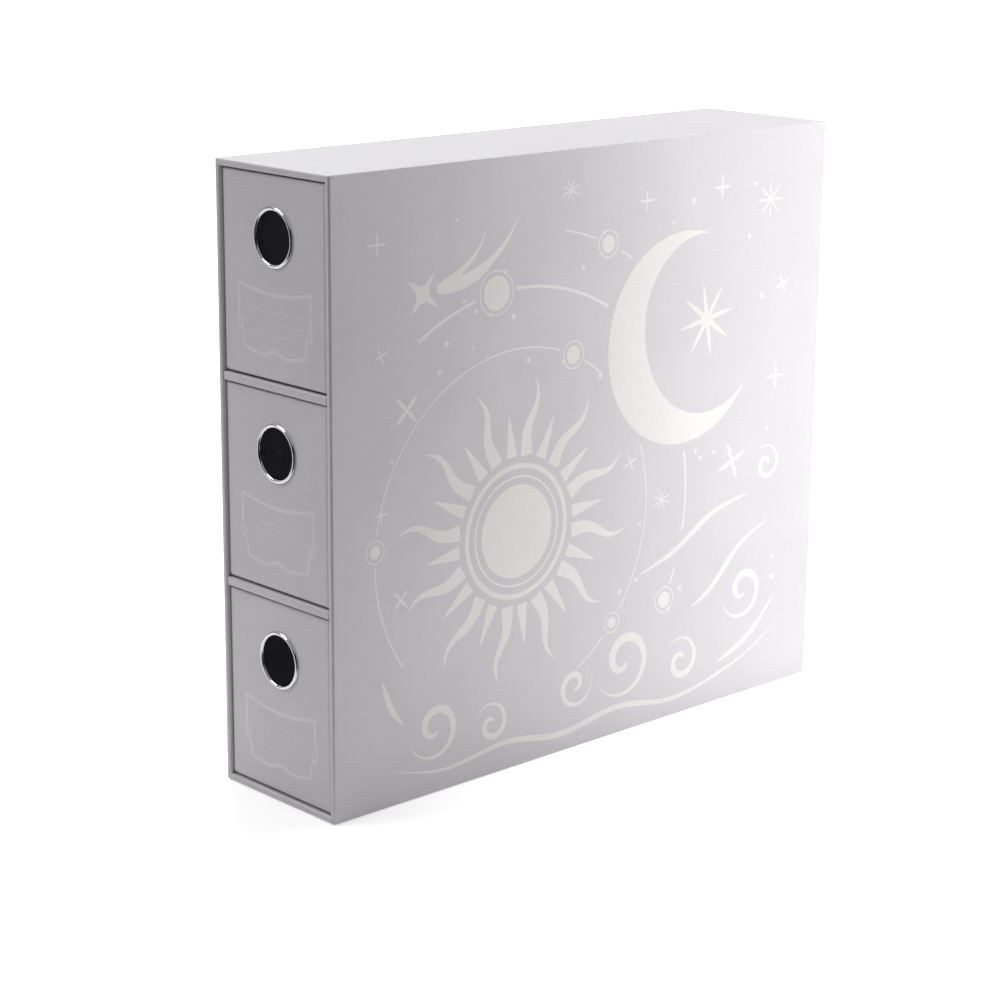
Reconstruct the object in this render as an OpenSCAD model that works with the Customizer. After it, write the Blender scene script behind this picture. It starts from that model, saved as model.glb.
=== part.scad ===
// Trading card drawer box: a tall narrow paper-wrapped board cabinet with three drawers in its
// narrow front. Each drawer is a board tray, and its front has a round metal finger ring.
// Millimetres, +Z up. The origin is the centre of the base, and the drawer fronts face -Y.

/* [Cabinet] */
// Width across the drawer fronts
cabinet_w = 84; // [74:0.5:120]
// Depth from the front edges to the back sheet
cabinet_d = 343; // [150:1:450]
// Height from the base sheet to the top
cabinet_h = 310; // [300:1:420]
// Thickness of the boards of the top, bottom, sides and back
shell_board_t = 2.8; // [2:0.1:4]
// Thickness of the two shelf boards
shelf_board_t = 3.8; // [2:0.1:5]
// Distance of the shelves' front edges behind the cabinet's front edges
shelf_recess = 0.3; // [0:0.1:1.5]

/* [Papers] */
// Thickness of the cover paper round the cabinet, the shelves' front edges and the drawers
cover_t = 0.25; // [0.15:0.05:0.4]
// Thickness of the dark lining paper inside the cabinet and the drawers
lining_t = 0.25; // [0.15:0.05:0.4]
// Thickness of the sheets pasted under the base and on the back
sheet_t = 0.25; // [0.15:0.05:0.5]
// Distance of the base and back sheets' edges from the cabinet's outer edges
sheet_inset = 2; // [1:0.5:6]
// Depth of cover paper turned in over the front edges of the cabinet and the shelves
front_turn_in = 18; // [8:1:30]
// Width of cover paper turned over the cabinet's back edges
back_turn_in = 14; // [8:1:30]
// Rounding of the cabinet's long outer corners, where the paper goes round them
wrap_corner_r = 0.6; // [0.2:0.1:1.2]

/* [Drawer fronts] */
// Distance of the drawer fronts behind the cabinet's front edges
front_recess = 1.3; // [1.3:0.1:4]
// Gap between a drawer front and the bay at each side
front_side_gap = 0.5; // [0.3:0.1:1.5]
// Gap above a drawer front
front_top_gap = 0.8; // [0.3:0.1:2]
// Gap below a drawer front
front_bottom_gap = 1; // [0.5:0.1:2]
// Thickness of the board in a drawer front
front_board_t = 2.6; // [2:0.1:4]
// Corner radius at the top of a drawer front
front_top_r = 0.8; // [0.3:0.1:3]
// Corner radius at the bottom of a drawer front
front_bottom_r = 1.8; // [0.3:0.1:3]

/* [Drawer trays] */
// Running gap between a tray and the bay at each side
tray_side_gap = 0.75; // [0.3:0.05:1.5]
// Running gap between a tray and the floor of its bay
tray_floor_gap = 0.3; // [0.2:0.05:0.8]
// Gap between a tray and the back of its bay
tray_back_gap = 1.5; // [0.5:0.1:10]
// Thickness of the tray boards
tray_board_t = 2; // [1.5:0.1:3]
// Gap between the tray's top edges and the ceiling of its bay
tray_head_gap = 8.4; // [2:0.1:13]
// Depth of cover paper turned in over the tray's top edges
tray_turn_in = 12; // [5:1:25]

/* [Finger rings] */
// Diameter of the finger hole
ring_hole_d = 25; // [18:0.5:30]
// Width of the ring's domed rim, from the hole outwards
ring_rim_w = 1.9; // [1.6:0.1:2.6]
// Wall thickness of the ring's sleeve
ring_sleeve_t = 0.5; // [0.3:0.1:1]
// Clearance between the sleeve and the hole through the drawer front
ring_fit = 0.1; // [0.05:0.05:0.3]
// Distance of the finger hole's centre below the ceiling of its bay
ring_drop = 29.6; // [20:0.2:40]
// Thickness of the washer behind the drawer front
washer_t = 0.5; // [0.3:0.1:1]
// Width of the washer
washer_w = 3; // [2:0.1:4]
// Thickness of the sleeve's end, rolled over the washer
roll_t = 0.4; // [0.3:0.1:0.8]
// Width of the rolled end beyond the sleeve
roll_w = 0.9; // [0.5:0.1:1.5]

/* [Hidden] */
$fn = 96;
tiny = 0.01;
bay_count = 3;
pearl = [0.80, 0.79, 0.82];
greyboard = [0.60, 0.58, 0.55];
charcoal = [0.10, 0.10, 0.11];
chrome = [0.82, 0.83, 0.85];

// The cabinet's planes, from the outside in
half_w = cabinet_w / 2;
front_y = -cabinet_d / 2;
back_y = cabinet_d / 2;
wrap_back_y = back_y - sheet_t;
board_front_y = front_y + cover_t;
board_back_y = wrap_back_y - cover_t;
board_half_w = half_w - cover_t;
board_low_z = sheet_t + cover_t;
board_high_z = cabinet_h - cover_t;
inner_half_w = board_half_w - shell_board_t;
inner_low_z = board_low_z + shell_board_t;
inner_high_z = board_high_z - shell_board_t;
inner_back_y = board_back_y - shell_board_t;
skin_t = max(cover_t, lining_t);
turn_in_y = front_y + front_turn_in;

// The three bays, all of one size
bay_half_w = inner_half_w - skin_t;
bay_w = 2 * bay_half_w;
shelf_t = shelf_board_t + 2 * skin_t;
bay_h = (inner_high_z - inner_low_z - 2 * skin_t - (bay_count - 1) * shelf_t) / bay_count;
bay_pitch = bay_h + shelf_t;
bay_floor_z = inner_low_z + skin_t;
bay_back_y = inner_back_y - lining_t;
shelf_front_y = front_y + shelf_recess;

// A drawer front's planes, with heights from the floor of its bay
front_face_y = front_y + front_recess;
front_board_y = front_face_y + cover_t;
front_back_y = front_board_y + front_board_t;
front_w = bay_w - 2 * front_side_gap;
front_h = bay_h - front_bottom_gap - front_top_gap;
front_high_z = front_bottom_gap + front_h;

// A tray's planes, with heights from the floor of its bay
tray_half_w = bay_half_w - tray_side_gap;
tray_end_y = bay_back_y - tray_back_gap;
wall_out_x = tray_half_w - cover_t;
wall_in_x = wall_out_x - tray_board_t;
wall_end_y = tray_end_y - cover_t;
wall_inner_end_y = wall_end_y - tray_board_t;
tray_high_z = bay_h - tray_head_gap;
wall_low_z = tray_floor_gap + cover_t;
wall_high_z = tray_high_z - cover_t;
tray_floor_z = wall_low_z + tray_board_t;
tray_turn_z = wall_high_z - tray_turn_in;
front_lining_y = front_back_y + lining_t;

// The finger ring, with heights from the floor of its bay
ring_z = bay_h - ring_drop;
ring_hole_r = ring_hole_d / 2;
ring_sleeve_r = ring_hole_r + ring_sleeve_t;
ring_bore_r = ring_sleeve_r + ring_fit;
rim_r = ring_rim_w / 2;
washer_back_y = front_lining_y + washer_t;
ring_back_y = washer_back_y + roll_t;

drawer_names = ["bottom_drawer", "middle_drawer", "top_drawer"];
drawer_pieces = ["front_board", "left_wall", "right_wall", "back_wall", "base_board",
                 "front_cover", "tray_wrap", "tray_lining", "finger_ring", "ring_washer"];
cabinet_pieces = ["top_board", "bottom_board", "left_side_board", "right_side_board",
                  "back_board", "outer_wrap", "base_sheet", "back_sheet", "cabinet_lining",
                  "upper_shelf_board", "lower_shelf_board", "upper_shelf_wrap",
                  "lower_shelf_wrap", "upper_shelf_lining", "lower_shelf_lining"];

// ---------------------------------------------------------------- helpers

// A block between two opposite corners
module block(low, high) {
    translate(low)
        cube(high - low);
}

// An outline drawn in x and z, carried from one depth to another
module along_y(from_y, to_y) {
    translate([0, to_y, 0])
        rotate([90, 0, 0])
            linear_extrude(to_y - from_y)
                children();
}

// A panel outline centred on x, standing on y = 0, with rounded lower and upper corners
module panel_outline(w, h, low_r, high_r) {
    translate([-w / 2, low_r])
        square([w, h - low_r - high_r]);
    translate([-w / 2 + low_r, 0])
        square([w - 2 * low_r, h / 2]);
    translate([-w / 2 + high_r, h / 2])
        square([w - 2 * high_r, h / 2]);
    for (side = [-1, 1]) {
        translate([side * (w / 2 - low_r), low_r])
            circle(low_r);
        translate([side * (w / 2 - high_r), h - high_r])
            circle(high_r);
    }
}

// A shape turned about the finger hole's axis, from an outline of radius and depth
module about_ring_axis() {
    translate([0, 0, ring_z])
        rotate([-90, 0, 0])
            rotate_extrude()
                children();
}

// The round hole through a drawer front's layers
module ring_hole() {
    translate([0, front_y - tiny, ring_z])
        rotate([-90, 0, 0])
            cylinder(r = ring_bore_r, h = ring_back_y - front_y + 2 * tiny);
}

// Places a drawer's pieces in one of the bays, counted from the bottom
module in_bay(bay) {
    translate([0, 0, bay_floor_z + bay * bay_pitch])
        children();
}

// Places a shelf's pieces on the underside of the shelf above a bay
module above_bay(bay) {
    translate([0, 0, bay_floor_z + bay * bay_pitch + bay_h])
        children();
}

// ---------------------------------------------------------------- cabinet boards

module side_board(side) {
    color(greyboard)
        translate([side * (inner_half_w + board_half_w) / 2, 0, 0])
            block([-shell_board_t / 2, board_front_y, board_low_z],
                  [shell_board_t / 2, board_back_y, board_high_z]);
}

module top_board() {
    color(greyboard)
        block([-inner_half_w, board_front_y, inner_high_z],
              [inner_half_w, board_back_y, board_high_z]);
}

module bottom_board() {
    color(greyboard)
        block([-inner_half_w, board_front_y, board_low_z],
              [inner_half_w, board_back_y, inner_low_z]);
}

module back_board() {
    color(greyboard)
        block([-inner_half_w, inner_back_y, inner_low_z],
              [inner_half_w, board_back_y, inner_high_z]);
}

module shelf_board() {
    color(greyboard)
        block([-bay_half_w, shelf_front_y + cover_t, skin_t],
              [bay_half_w, bay_back_y - lining_t, skin_t + shelf_board_t]);
}

// ---------------------------------------------------------------- cabinet papers

// One sheet round all four sides, turned in over the front edges and over the back edges
module outer_wrap() {
    color(pearl)
        difference() {
            translate([0, 0, sheet_t])
                along_y(front_y, wrap_back_y)
                    panel_outline(cabinet_w, cabinet_h - sheet_t,
                                  min(wrap_corner_r, 3 * cover_t), min(wrap_corner_r, 3 * cover_t));
            block([-board_half_w, board_front_y, board_low_z],
                  [-inner_half_w, board_back_y, board_high_z]);
            block([inner_half_w, board_front_y, board_low_z],
                  [board_half_w, board_back_y, board_high_z]);
            block([-inner_half_w - tiny, board_front_y, inner_high_z],
                  [inner_half_w + tiny, board_back_y, board_high_z]);
            block([-inner_half_w - tiny, board_front_y, board_low_z],
                  [inner_half_w + tiny, board_back_y, inner_low_z]);
            block([-inner_half_w + cover_t, front_y - tiny, inner_low_z + cover_t],
                  [inner_half_w - cover_t, turn_in_y + tiny, inner_high_z - cover_t]);
            block([-inner_half_w - tiny, turn_in_y, inner_low_z - tiny],
                  [inner_half_w + tiny, board_back_y, inner_high_z + tiny]);
            block([-half_w + back_turn_in, board_back_y - tiny, sheet_t + back_turn_in],
                  [half_w - back_turn_in, wrap_back_y + tiny, cabinet_h - back_turn_in]);
        }
}

// Pasted under the wrap, a little inside the edges, and what the box stands on
module base_sheet() {
    color(pearl)
        block([-half_w + sheet_inset, front_y + sheet_inset, 0],
              [half_w - sheet_inset, back_y - sheet_inset, sheet_t]);
}

// Pasted over the turned edges, with a filler in the window that they leave
module back_sheet() {
    color(pearl) {
        block([-half_w + sheet_inset, wrap_back_y, sheet_t + sheet_inset],
              [half_w - sheet_inset, back_y, cabinet_h - sheet_inset]);
        block([-half_w + back_turn_in, board_back_y, sheet_t + back_turn_in],
              [half_w - back_turn_in, wrap_back_y + tiny, cabinet_h - back_turn_in]);
    }
}

// Lines the sides, top, bottom and back of the cabinet behind the turned-in cover paper
module cabinet_lining() {
    color(charcoal)
        difference() {
            block([-inner_half_w, turn_in_y, inner_low_z],
                  [inner_half_w, inner_back_y, inner_high_z]);
            block([-inner_half_w + lining_t, turn_in_y - tiny, inner_low_z + lining_t],
                  [inner_half_w - lining_t, inner_back_y - lining_t, inner_high_z - lining_t]);
        }
}

// Folded round a shelf's front edge
module shelf_wrap() {
    color(pearl)
        difference() {
            block([-bay_half_w, shelf_front_y, skin_t - cover_t],
                  [bay_half_w, turn_in_y, skin_t + shelf_board_t + cover_t]);
            block([-bay_half_w - tiny, shelf_front_y + cover_t, skin_t],
                  [bay_half_w + tiny, turn_in_y + tiny, skin_t + shelf_board_t]);
        }
}

// Folded round a shelf's back edge
module shelf_lining() {
    color(charcoal)
        difference() {
            block([-bay_half_w, turn_in_y, skin_t - lining_t],
                  [bay_half_w, bay_back_y, skin_t + shelf_board_t + lining_t]);
            block([-bay_half_w - tiny, turn_in_y - tiny, skin_t],
                  [bay_half_w + tiny, bay_back_y - lining_t, skin_t + shelf_board_t]);
        }
}

// ---------------------------------------------------------------- drawer boards

module drawer_front_board() {
    color(greyboard)
        difference() {
            translate([0, 0, front_bottom_gap + cover_t])
                along_y(front_board_y, front_back_y)
                    panel_outline(front_w - 2 * cover_t, front_h - 2 * cover_t,
                                  max(front_bottom_r - cover_t, tiny),
                                  max(front_top_r - cover_t, tiny));
            ring_hole();
        }
}

module drawer_side_wall(side) {
    color(greyboard)
        translate([side * (wall_in_x + wall_out_x) / 2, 0, 0])
            block([-tray_board_t / 2, front_back_y, wall_low_z],
                  [tray_board_t / 2, wall_end_y, wall_high_z]);
}

module drawer_back_wall() {
    color(greyboard)
        block([-wall_in_x, wall_inner_end_y, wall_low_z],
              [wall_in_x, wall_end_y, wall_high_z]);
}

module drawer_base_board() {
    color(greyboard)
        block([-wall_in_x, front_back_y, wall_low_z],
              [wall_in_x, wall_inner_end_y, tray_floor_z]);
}

// ---------------------------------------------------------------- drawer papers

// Over the face and the four edges of a drawer front, and down its back to the tray's top
module drawer_front_cover() {
    color(pearl)
        difference() {
            union() {
                translate([0, 0, front_bottom_gap])
                    along_y(front_face_y, front_back_y)
                        panel_outline(front_w, front_h, front_bottom_r, front_top_r);
                block([-front_w / 2 + front_top_r + cover_t, front_board_y, tray_high_z],
                      [front_w / 2 - front_top_r - cover_t, front_back_y + cover_t, front_high_z]);
            }
            translate([0, 0, front_bottom_gap + cover_t])
                along_y(front_board_y, front_back_y)
                    panel_outline(front_w - 2 * cover_t, front_h - 2 * cover_t,
                                  max(front_bottom_r - cover_t, tiny),
                                  max(front_top_r - cover_t, tiny));
            ring_hole();
        }
}

// Round the outside of the tray, over its top edges and a little way down inside
module drawer_tray_wrap() {
    color(pearl)
        difference() {
            block([-tray_half_w, front_back_y, tray_floor_gap],
                  [tray_half_w, tray_end_y, tray_high_z]);
            block([-wall_out_x, front_back_y - tiny, wall_low_z],
                  [-wall_in_x, wall_end_y, wall_high_z]);
            block([wall_in_x, front_back_y - tiny, wall_low_z],
                  [wall_out_x, wall_end_y, wall_high_z]);
            block([-wall_in_x - tiny, wall_inner_end_y, wall_low_z],
                  [wall_in_x + tiny, wall_end_y, wall_high_z]);
            block([-wall_in_x + cover_t, front_back_y - tiny, tray_turn_z - tiny],
                  [wall_in_x - cover_t, wall_inner_end_y - cover_t, tray_high_z + tiny]);
            block([-wall_in_x - tiny, front_back_y - tiny, wall_low_z],
                  [wall_in_x + tiny, wall_inner_end_y + tiny, tray_turn_z]);
        }
}

// Inside the tray: the floor, the three walls and the back of the drawer front
module drawer_tray_lining() {
    color(charcoal)
        difference() {
            union() {
                block([-wall_in_x, front_back_y, tray_floor_z],
                      [wall_in_x, wall_inner_end_y, tray_turn_z]);
                block([-wall_in_x + cover_t, front_back_y, tray_turn_z - tiny],
                      [wall_in_x - cover_t, front_lining_y, tray_high_z]);
            }
            block([-wall_in_x + lining_t, front_lining_y, tray_floor_z + lining_t],
                  [wall_in_x - lining_t, wall_inner_end_y - lining_t, tray_high_z + tiny]);
            ring_hole();
        }
}

// ---------------------------------------------------------------- finger rings

// A domed rim, a sleeve through the drawer front, and an end rolled over the washer
module drawer_finger_ring() {
    color(chrome)
        about_ring_axis() {
            intersection() {
                translate([ring_hole_r + rim_r, front_face_y])
                    circle(rim_r);
                translate([ring_hole_r, front_face_y - rim_r])
                    square([ring_rim_w, rim_r]);
            }
            translate([ring_hole_r, front_face_y])
                square([ring_sleeve_t, ring_back_y - front_face_y]);
            translate([ring_hole_r, washer_back_y])
                square([ring_sleeve_t + roll_w, roll_t]);
        }
}

module drawer_ring_washer() {
    color(chrome)
        about_ring_axis()
            translate([ring_bore_r, front_lining_y])
                square([washer_w, washer_t]);
}

// ---------------------------------------------------------------- the assembly

top_board();
bottom_board();
side_board(-1);  // left_side_board
side_board(1);  // right_side_board
back_board();
outer_wrap();
base_sheet();
back_sheet();
cabinet_lining();
above_bay(1) shelf_board();  // upper_shelf_board
above_bay(0) shelf_board();  // lower_shelf_board
above_bay(1) shelf_wrap();  // upper_shelf_wrap
above_bay(0) shelf_wrap();  // lower_shelf_wrap
above_bay(1) shelf_lining();  // upper_shelf_lining
above_bay(0) shelf_lining();  // lower_shelf_lining
for (bay = [0 : bay_count - 1]) {
    drawer = drawer_names[bay];
    in_bay(bay) drawer_front_board();
    in_bay(bay) drawer_side_wall(-1);
    in_bay(bay) drawer_side_wall(1);
    in_bay(bay) drawer_back_wall();
    in_bay(bay) drawer_base_board();
    in_bay(bay) drawer_front_cover();
    in_bay(bay) drawer_tray_wrap();
    in_bay(bay) drawer_tray_lining();
    in_bay(bay) drawer_finger_ring();
    in_bay(bay) drawer_ring_washer();
}
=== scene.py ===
# Trading card drawer box: its papers, printed ink and metal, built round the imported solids.
# Metres, +Z up. The origin is the centre of the base, and the drawer fronts face -Y.
import math
import random

import bmesh
import bpy
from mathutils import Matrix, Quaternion, Vector


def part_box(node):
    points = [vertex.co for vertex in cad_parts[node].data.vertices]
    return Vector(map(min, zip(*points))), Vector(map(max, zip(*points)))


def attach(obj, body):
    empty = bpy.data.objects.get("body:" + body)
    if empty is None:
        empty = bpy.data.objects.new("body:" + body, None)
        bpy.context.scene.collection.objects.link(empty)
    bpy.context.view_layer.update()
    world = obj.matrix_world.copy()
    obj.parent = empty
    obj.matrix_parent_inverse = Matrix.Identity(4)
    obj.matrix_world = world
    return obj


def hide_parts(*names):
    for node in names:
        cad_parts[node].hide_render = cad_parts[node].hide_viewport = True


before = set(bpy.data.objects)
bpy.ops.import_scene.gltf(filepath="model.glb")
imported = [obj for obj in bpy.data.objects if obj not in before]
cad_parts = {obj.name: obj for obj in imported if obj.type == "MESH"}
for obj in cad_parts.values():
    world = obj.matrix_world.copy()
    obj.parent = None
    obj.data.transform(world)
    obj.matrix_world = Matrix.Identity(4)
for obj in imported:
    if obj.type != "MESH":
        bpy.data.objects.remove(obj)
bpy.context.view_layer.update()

MM = 0.001

# ---------------------------------------------------------------- sizes taken from the solids

WRAP_LOW, WRAP_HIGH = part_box("outer_wrap")
BACK_LOW, BACK_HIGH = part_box("back_sheet")
BASE_LOW, BASE_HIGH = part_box("base_sheet")
LINING_LOW, LINING_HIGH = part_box("cabinet_lining")
DRAWERS = ["bottom_drawer", "middle_drawer", "top_drawer"]
SHELVES = ["lower_shelf", "upper_shelf"]

COVER_T = WRAP_HIGH.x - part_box("right_side_board")[1].x    # cover paper
EDGE_W = WRAP_HIGH.x - LINING_HIGH.x + COVER_T             # front edge of a wrapped board
FRONT_Y = WRAP_LOW.y
TURN_IN_Y = LINING_LOW.y                                   # end of the wrap's front turn-in

# ---------------------------------------------------------------- folds and edges

BACK_TURN_W = 14 * MM      # the wrap's turn-in over the back
FOLD_R = 0.84 * MM         # paper folded round a shelf's front edge
EDGE_R = 1.3 * MM          # paper folded in round a board's front edge
TOP_EDGE_R = 0.7 * MM      # and round the top board's, pulled tighter
FRONT_R = 0.95 * MM        # paper folded round an outer front edge
BACK_R = 0.7 * MM          # and round an outer back edge
CORNER_R = 0.62 * MM       # the cabinet's long corners
CREASE_R = 0.12 * MM       # paper pressed into an inside corner
CUT_R = 0.02 * MM          # a sheet's cut edge
TUCK = 0.02 * MM           # how far a piece sinks into what carries it
PRESS_W = 2.4 * MM         # width of a drawer front's pressed edge
PRESS_DEPTH = 0.55 * MM    # how far it falls back
PRESS_CURVE = 2.6          # how late it falls back; 1 would be a plain slope
DISH_DEPTH = 0.12 * MM     # the dish in a drawer front under its ring
DISH_W = 8.0               # and its width round the hole, in mm
HOLE_R = 13.1 * MM         # hole through a drawer front

CORNER_STEPS = 5                    # parts of a rounded corner
CORNER_POINTS = CORNER_STEPS + 3    # its points, with one beside it at both ends
CORNER_LEAD = 0.4                   # how far off these two lie, in tangent lengths


# ---------------------------------------------------------------- making meshes

def rounded_path(corners, closed=True, splits=None):
    """Points (a, b, worn) along a path of corners (a, b, radius). Each corner is rounded, with a
    point beside the rounding at both ends, and worn is 1 in its middle. With splits, straight i
    is divided into splits[i] parts."""
    count = len(corners)
    pieces = []
    for i, (a, b, radius) in enumerate(corners):
        here = Vector((a, b))
        if not closed and i in (0, count - 1):
            pieces.append([(a, b, 0.0)])
            continue
        into = (here - Vector(corners[i - 1][:2])).normalized()
        onto = (Vector(corners[(i + 1) % count][:2]) - here).normalized()
        turn = math.acos(max(-1.0, min(1.0, into.dot(onto))))
        reach = radius * math.tan(turn / 2)
        start, end = here - into * reach, here + onto * reach
        side = Vector((-into.y, into.x))
        if side.dot(onto) < 0:
            side = -side
        centre = start + side * radius
        arc = [(*(start - into * reach * CORNER_LEAD), 0.0)]
        for k in range(CORNER_STEPS + 1):
            angle = turn * k / CORNER_STEPS
            p = centre - side * radius * math.cos(angle) + into * radius * math.sin(angle)
            arc.append((p.x, p.y, math.sin(math.pi * k / CORNER_STEPS)))
        arc.append((*(end + onto * reach * CORNER_LEAD), 0.0))
        pieces.append(arc)
    path = []
    for i, arc in enumerate(pieces):
        path += arc
        if splits and (closed or i < count - 1):
            following = pieces[(i + 1) % count][0]
            for k in range(1, splits[i]):
                t = k / splits[i]
                path.append((arc[-1][0] + (following[0] - arc[-1][0]) * t,
                             arc[-1][1] + (following[1] - arc[-1][1]) * t, 0.0))
    return path


def add_object(name, data):
    """A new object in the scene, at the origin."""
    made = bpy.data.objects.new(name, data)
    bpy.context.scene.collection.objects.link(made)
    return made


def finish_mesh(name, bm, material, body, replaced=(), sharp_angle=40):
    """Turns the mesh into an object with its material, riding on its body."""
    bmesh.ops.recalc_face_normals(bm, faces=bm.faces)
    mesh = bpy.data.meshes.new(name)
    bm.to_mesh(mesh)
    bm.free()
    mesh.shade_smooth()
    mesh.set_sharp_from_angle(angle=math.radians(sharp_angle))
    mesh.materials.append(material)
    piece = add_object(name, mesh)
    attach(piece, body)
    if replaced:
        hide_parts(*replaced)


def closed_skin(loops, ring=False):
    """A closed skin through loops of as many points (x, y, z, worn). In a ring the last loop
    joins the first. Otherwise both ends are closed, each point with its opposite one."""
    bm = bmesh.new()
    worn = bm.verts.layers.float.new("worn")
    rows = []
    for loop in loops:
        row = []
        for x, y, z, wear in loop:
            vert = bm.verts.new((x, y, z))
            vert[worn] = wear
            row.append(vert)
        rows.append(row)
    count = len(rows[0])
    pairs = list(zip(rows, rows[1:]))
    if ring:
        pairs.append((rows[-1], rows[0]))
    for near, far in pairs:
        for i in range(count):
            j = (i + 1) % count
            bm.faces.new((near[i], near[j], far[j], far[i]))
    if not ring:
        for end in (rows[0], rows[-1]):
            for i in range(count // 2 - 1):
                bm.faces.new((end[i], end[i + 1], end[count - 2 - i], end[count - 1 - i]))
    return bm


def rectangle(low, high, radii, splits=None):
    """A rounded rectangle from its low left corner, counterclockwise."""
    return rounded_path([(low[0], low[1], radii[0]), (high[0], low[1], radii[1]),
                         (high[0], high[1], radii[2]), (low[0], high[1], radii[3])],
                        splits=splits)


def pasted_sheet(name, low, high, axis, material, body, replaced=()):
    """A thin sheet with pressed edges, lying square to one axis."""
    across = [i for i in range(3) if i != axis]
    thick = high[axis] - low[axis]
    corner_r = 0.4 * MM
    loops = []
    # level and inset are in thicknesses, from the under side and from the edge
    for level, inset, worn in ((0, 0.4, 0.3), (0.4, 0, 1), (0.6, 0, 1), (1, 0.4, 0.5), (1, 4, 0)):
        flat = inset * thick
        outline = rectangle((low[across[0]] + flat, low[across[1]] + flat),
                            (high[across[0]] - flat, high[across[1]] - flat), [corner_r] * 4)
        loop = []
        for a, b, _ in outline:
            point = [0.0] * 3
            point[axis] = low[axis] + level * thick
            point[across[0]], point[across[1]] = a, b
            loop.append((*point, worn))
        loops.append(loop)
    finish_mesh(name, closed_skin(loops), material, body, replaced)


# ---------------------------------------------------------------- shared shader groups

def new_group(name, inputs, outputs):
    """A shader group with named inputs, their values and named outputs. It comes with the
    Shader that fills it, its input node and the place on the surface."""
    group = bpy.data.node_groups.new(name, "ShaderNodeTree")
    for label, value in inputs.items():
        socket = group.interface.new_socket(label, in_out="INPUT", socket_type="NodeSocketFloat")
        socket.default_value = value
    for label in outputs:
        group.interface.new_socket(label, in_out="OUTPUT", socket_type="NodeSocketFloat")
    s = Shader(group)
    return group, s, s.add("NodeGroupInput"), s.add("ShaderNodeTexCoord").outputs["Object"]


class Shader:
    """Places and joins nodes in a node tree, left to right."""

    def __init__(self, tree):
        self.tree = tree
        self.place = 0

    def add(self, kind, settings=None, **inputs):
        """A node with its settings, and its inputs by name, or by number after a _. Each is
        given a value, or a socket to join."""
        node = self.tree.nodes.new(kind)
        node.location = (self.place * 180, 0)
        self.place += 1
        for key, value in (settings or {}).items():
            setattr(node, key, value)
        for key, value in inputs.items():
            socket = node.inputs[int(key[1:]) if key[0] == "_" else key.replace("_", " ")]
            if isinstance(value, bpy.types.NodeSocket):
                self.tree.links.new(value, socket)
            else:
                socket.default_value = value
        return node

    def maths(self, operation, a, b):
        return self.add("ShaderNodeMath", {"operation": operation}, _0=a, _1=b).outputs[0]

    def vector_maths(self, operation, output="Vector", **inputs):
        return self.add("ShaderNodeVectorMath", {"operation": operation}, **inputs).outputs[output]

    def remap(self, value, low, high, to_low=0.0, to_high=1.0):
        return self.add("ShaderNodeMapRange", {"interpolation_type": "SMOOTHSTEP"}, Value=value,
                        From_Min=low, From_Max=high, To_Min=to_low, To_Max=to_high).outputs[0]

    def blend(self, amount, a, b, mode="MIX"):
        return self.add("ShaderNodeMix", {"data_type": "RGBA", "blend_type": mode},
                        _0=amount, _6=a, _7=b).outputs[2]

    def noise(self, where, scale, detail=3.0, rough=0.55):
        return self.add("ShaderNodeTexNoise", Vector=where, Scale=scale, Detail=detail,
                        Roughness=rough).outputs["Fac"]

    def group(self, group, **inputs):
        return self.add("ShaderNodeGroup", {"node_tree": group}, **inputs)


def make_paper_grain():
    """Short fibres and soft mottling of a pressed paper."""
    fibres_per_metre = 1500.0    # for a fibre length of 1
    group, s, ends, where = new_group("paper_grain", {"Fibre Length": 1.2, "Fibre Depth": 1.0},
                                      ["Height", "Mottle", "Fleck"])
    fibre_scale = s.maths("DIVIDE", fibres_per_metre, ends.outputs["Fibre Length"])
    stretched = s.add("ShaderNodeMapping", Vector=where, Scale=(1.0, 0.38, 1.0),
                      Rotation=(0.5, 0.3, 0.7)).outputs[0]
    crossed = s.add("ShaderNodeMapping", Vector=where, Scale=(1.0, 1.0, 0.38),
                    Rotation=(-0.4, 0.6, 0.2)).outputs[0]
    fibres = s.maths("ADD", s.noise(stretched, fibre_scale, detail=4.0, rough=0.6),
                     s.noise(crossed, fibre_scale, detail=4.0, rough=0.6))
    press = s.noise(where, scale=260.0)
    height = s.maths("ADD", fibres, s.maths("MULTIPLY", press, 0.8))
    height = s.maths("MULTIPLY", height, ends.outputs["Fibre Depth"])
    cloudy = s.noise(where, scale=24.0, detail=4.0, rough=0.5)
    fine = s.noise(where, scale=420.0, detail=2.0)
    mottle = s.maths("ADD", s.maths("MULTIPLY", cloudy, 0.6), s.maths("MULTIPLY", fine, 0.4))
    fleck_scale = s.maths("MULTIPLY", fibre_scale, 0.45)
    fleck = s.remap(s.noise(crossed, fleck_scale, detail=1.0), 0.66, 0.74)
    s.add("NodeGroupOutput", Height=height, Mottle=mottle, Fleck=fleck)
    return group


def make_edge_wear():
    """Where a folded edge is rubbed: its worn mark, broken up by noise."""
    group, s, ends, where = new_group("edge_wear", {"Amount": 0.5, "Patch Size": 6.0}, ["Mask"])
    marked = s.add("ShaderNodeAttribute", {"attribute_name": "worn"}).outputs["Fac"]
    patch_scale = s.maths("DIVIDE", 1 / MM, ends.outputs["Patch Size"])
    patches = s.noise(where, patch_scale, detail=5.0, rough=0.65)
    rubbed = s.remap(patches, 0.42, 0.68)
    mask = s.maths("MULTIPLY", s.maths("MULTIPLY", marked, rubbed), ends.outputs["Amount"])
    s.add("NodeGroupOutput", Mask=mask)
    return group


def make_fine_dust():
    """A very thin uneven film, such as handling leaves."""
    group, s, ends, where = new_group("fine_dust", {"Amount": 0.1}, ["Mask"])
    film = s.noise(where, scale=14.0, detail=6.0, rough=0.7)
    mask = s.maths("MULTIPLY", s.remap(film, 0.45, 0.75), ends.outputs["Amount"])
    s.add("NodeGroupOutput", Mask=mask)
    return group


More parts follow.
